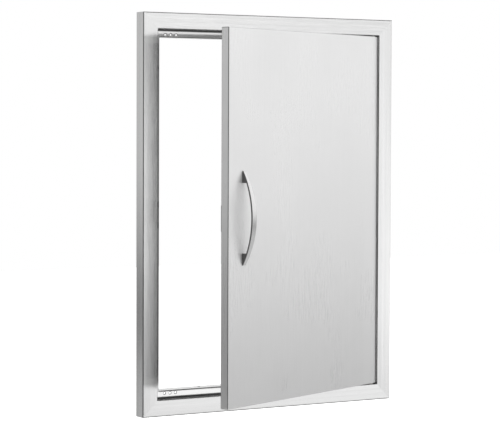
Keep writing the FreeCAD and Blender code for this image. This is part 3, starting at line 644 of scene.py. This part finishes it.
def pan_head():
    """Outline of a domed head with a flat top, on its shank."""
    outline = [(SCREW_RADIUS, 0.0), (HEAD_RADIUS, 0.0), (HEAD_RADIUS, HEAD_HEIGHT * DOME_RIM)]
    for k in range(1, DOME_STEPS + 1):
        angle = math.pi / 2 * k / DOME_STEPS
        radius = HEAD_RADIUS * (DOME_RIM + (1.0 - DOME_RIM) * math.cos(angle))
        height = HEAD_HEIGHT * (DOME_RIM + (1.0 - DOME_RIM) * math.sin(angle))
        outline.append((radius, height))
    return outline


def flat_head():
    """Outline of a countersunk head whose top is at 0."""
    rim = FLAT_HEAD_DEPTH * FLAT_HEAD_RIM
    return [(SCREW_RADIUS, -FLAT_HEAD_DEPTH), (HEAD_RADIUS, -rim), (HEAD_RADIUS, 0.0)]


def nut_mesh(height):
    """A hexagon nut along Z from 0 to height, with chamfered corners and a threaded bore."""
    apothem = NUT_WIDTH / 2
    mouth = SCREW_RADIUS + SCREW_PITCH / 2

    def flats(angle):
        return apothem / math.cos((angle + math.pi / 6) % (math.pi / 3) - math.pi / 6)

    def bevel(angle):
        return (flats(angle) - apothem * NUT_END) * NUT_CHAMFER_SLOPE

    rings = [circle(mouth, height)]
    rings += threaded(SCREW_RADIUS, height - SCREW_PITCH / 2, SCREW_PITCH / 2, SCREW_PITCH, -1)
    rings.append(circle(mouth, 0.0))
    rings.append(circle(apothem * NUT_END, 0.0))
    rings.append(circle(flats, bevel))
    rings.append(circle(flats, lambda angle: height - bevel(angle)))
    rings.append(circle(apothem * NUT_END, height))
    return mesh_of(skin_rings(rings, closed=True), "nut")


def stand_for(node_name, mesh, places, direction, body):
    """Puts a copy of mesh at each place, its Z along direction, in one piece that stands for the node."""
    turn = direction.to_track_quat("Z", "Y").to_matrix().to_4x4()
    joined = bmesh.new()
    for place in places:
        before = len(joined.verts)
        joined.from_mesh(mesh)
        joined.verts.ensure_lookup_table()
        bmesh.ops.transform(joined, matrix=Matrix.Translation(place) @ turn, verts=joined.verts[before:])
    bpy.data.meshes.remove(mesh)
    piece = object_of(joined, node_name + "_detail")
    for face in piece.data.polygons:
        face.use_smooth = True
    piece.data.set_sharp_from_angle(angle=math.radians(SHARP_ANGLE))
    piece.data.materials.append(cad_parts[node_name].material_slots[0].material)
    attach(piece, body)
    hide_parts(node_name)


def places_in_row(node_name, edge, count, axis, y):
    """Places of the count equal fasteners of a node, in a row along axis, edge in from the node's ends."""
    low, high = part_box(node_name)
    places = []
    for k in range(count):
        place = (low + high) / 2
        place[axis] = low[axis] + edge + (high[axis] - low[axis] - 2 * edge) * k / (count - 1)
        place.y = y
        places.append(place)
    return places


def add_bracket_screws(node_name):
    """Pan head screws of a hinge bracket, their heads in front of the stop flange."""
    low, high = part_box(node_name)
    places = places_in_row(node_name, HEAD_RADIUS, BRACKET_SCREWS, axis=0, y=low.y + HEAD_HEIGHT)
    mesh = screw_mesh(pan_head(), HEAD_RADIUS, high.y - low.y - HEAD_HEIGHT)
    stand_for(node_name, mesh, places, FORWARD, "frame")


def add_bracket_nuts(node_name):
    """Chamfered nuts behind a hinge bracket."""
    low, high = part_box(node_name)
    places = places_in_row(node_name, NUT_WIDTH / math.sqrt(3), BRACKET_SCREWS, axis=0, y=low.y)
    stand_for(node_name, nut_mesh(high.y - low.y), places, -FORWARD, "frame")


def add_catch_screws():
    """Countersunk screws of the magnetic catch, flush with its bezel."""
    low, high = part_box("catch_screws")
    places = places_in_row("catch_screws", HEAD_RADIUS, CATCH_SCREWS, axis=2, y=low.y)
    mesh = screw_mesh(flat_head(), SCREW_RADIUS, high.y - low.y)
    stand_for("catch_screws", mesh, places, FORWARD, "frame")


def add_camera():
    """Stands the camera where the photographer's stood, with no shift."""
    yaw = math.radians(CAMERA_YAW)
    down = math.radians(CAMERA_DOWN)
    roll = math.radians(CAMERA_ROLL)
    level = Vector((math.sin(yaw), math.cos(yaw), 0))
    side = Vector((math.cos(yaw), -math.sin(yaw), 0))
    ahead = level * math.cos(down) - UPRIGHT * math.sin(down)
    above_ahead = level * math.sin(down) + UPRIGHT * math.cos(down)
    right = side * math.cos(roll) + above_ahead * math.sin(roll)
    up = above_ahead * math.cos(roll) - side * math.sin(roll)
    lens = bpy.data.cameras.new("photo_camera")
    lens.sensor_fit = "HORIZONTAL"
    lens.sensor_width = SENSOR_WIDTH
    lens.lens = FOCAL_PIXELS * SENSOR_WIDTH / PHOTO_WIDTH
    camera = bpy.data.objects.new("photo_camera", lens)
    turned = Matrix((right, up, -ahead)).transposed()
    camera.matrix_world = Matrix.Translation(CAMERA_PLACE) @ turned.to_4x4()
    bpy.context.scene.collection.objects.link(camera)
    bpy.context.scene.camera = camera


def seen_rays(tree):
    """1 for rays that show the backdrop: the camera's, mirrored ones and ones through glass."""
    path = add(tree, "LightPath")
    mirrored = maths(tree, "MAXIMUM", path.outputs["Is Camera Ray"], path.outputs["Is Glossy Ray"])
    return maths(tree, "MAXIMUM", mirrored, path.outputs["Is Transmission Ray"])


def left_level(tree, height, backwards):
    """Brightness of the left wall, which is duller low down, and has a foot of its own."""
    upper = smooth_range(tree, backwards, *LEFT_TURN, LEFT_FRONT, LEFT_BACK)
    wall = smooth_range(tree, height, *LEFT_HEIGHTS, LEFT_LOW, upper)
    foot = smooth_range(tree, backwards, *LEFT_TURN, LEFT_FOOT_FRONT, LEFT_FOOT_BACK)
    return blended(tree, below(tree, height, LEFT_FOOT_HEIGHTS), wall, foot)


def lit_level(tree, direction, height):
    """Brightness of the lit wall, which is dark low down, and has a duller strip."""
    beyond = maths(tree, "SUBTRACT", dot(tree, direction, FRONT), LIT_PIVOT)
    raised = maths(tree, "ADD", height, times(tree, beyond, LIT_SLOPE))
    wall = smooth_range(tree, raised, *LIT_HEIGHTS, LIT_LOW, LIT_HIGH)
    strip = smooth_range(tree, dot(tree, direction, GAP), *GAP_SPAN, 0.0, GAP_DEPTH)
    return times(tree, wall, remainder(tree, times(tree, strip, above(tree, height, GAP_HEIGHTS))))


def room_level(tree, direction):
    """Brightness of the room in a direction: lit wall front right, duller left, white behind, dark round
    the camera, a pale floor that is dark underfoot, and a dark ceiling."""
    height = add(tree, "SeparateXYZ", {"Vector": direction}).outputs["Z"]
    backwards = dot(tree, direction, BACKDROP)
    room = smooth_range(tree, height, *CAMERA_SIDE_HEIGHTS, CAMERA_SIDE_LOW, CAMERA_SIDE_HIGH)
    towards_left = above(tree, dot(tree, direction, LEFT_WALL), LEFT_SPAN)
    room = blended(tree, towards_left, room, left_level(tree, height, backwards))
    room = blended(tree, above(tree, backwards, BACKDROP_SPAN), room, BACKDROP_LEVEL)
    towards_lit = above(tree, dot(tree, direction, LIT_WALL), LIT_SPAN)
    room = blended(tree, towards_lit, room, lit_level(tree, direction, height))
    room = blended(tree, below(tree, height, FLOOR_HEIGHTS), room, FLOOR_LEVEL)
    room = blended(tree, below(tree, height, UNDERFOOT_HEIGHTS), room, UNDERFOOT_LEVEL)
    return blended(tree, above(tree, height, CEILING_HEIGHTS), room, CEILING_LEVEL)


def add_world():
    """White to the camera. Steel mirrors the room instead."""
    world = bpy.data.worlds.new("studio")
    bpy.context.scene.world = world
    world.use_nodes = True
    tree = world.node_tree
    tree.nodes.clear()
    room = room_level(tree, add(tree, "TexCoord").outputs["Generated"])
    is_camera = add(tree, "LightPath").outputs["Is Camera Ray"]
    colour = maths(tree, "MAXIMUM", room, is_camera)
    strength = smooth_range(tree, seen_rays(tree), 0.0, 1.0, DIFFUSE_STRENGTH, 1.0)
    light = add(tree, "Background", {"Color": colour, "Strength": strength})
    output = add(tree, "OutputWorld")
    tree.links.new(light.outputs["Background"], output.inputs["Surface"])


def add_floor():
    """A pale floor that renders white where it is lit and keeps the part's soft shadow."""
    low = cad_box[0].z - FLOOR_DROP
    size = FLOOR_HALF_SIZE
    corners = [(-size, -size, low), (size, -size, low), (size, size, low), (-size, size, low)]
    mesh = bpy.data.meshes.new("floor")
    mesh.from_pydata(corners, [], [(0, 1, 2, 3)])
    floor = bpy.data.objects.new("floor", mesh)
    material, tree, shader = blank_material("pale_floor")
    shader.inputs["Base Color"].default_value = FLOOR_COLOUR
    shader.inputs["Roughness"].default_value = FLOOR_ROUGHNESS
    shader.inputs["Emission Color"].default_value = WHITE
    away = add(tree, "VectorMath", {0: place_in_part(tree)}, operation="LENGTH").outputs["Value"]
    far_lift = smooth_range(tree, away, FLOOR_NEAR, FLOOR_FAR, FLOOR_LIFT, 1.0)
    tree.links.new(times(tree, seen_rays(tree), far_lift), shader.inputs["Emission Strength"])
    mesh.materials.append(material)
    bpy.context.scene.collection.objects.link(floor)
    floor.visible_glossy = False


def add_lamp():
    """One large soft lamp above and in front."""
    lamp = bpy.data.lights.new("soft_lamp", "AREA")
    lamp.shape = "SQUARE"
    lamp.size = LAMP_SIZE
    lamp.energy = LAMP_POWER
    hung = bpy.data.objects.new("soft_lamp", lamp)
    hung.location = LAMP_PLACE
    hung.rotation_euler = (-LAMP_PLACE).to_track_quat("-Z", "Y").to_euler()
    hung.visible_glossy = False
    bpy.context.scene.collection.objects.link(hung)


finish_nodes(finishes())
for level in ("upper", "lower"):
    add_bracket_screws(level + "_bracket_screws")
    add_bracket_nuts(level + "_bracket_nuts")
add_catch_screws()
add_camera()
add_world()
add_floor()
add_lamp()
bpy.context.scene.view_settings.view_transform = "Standard"
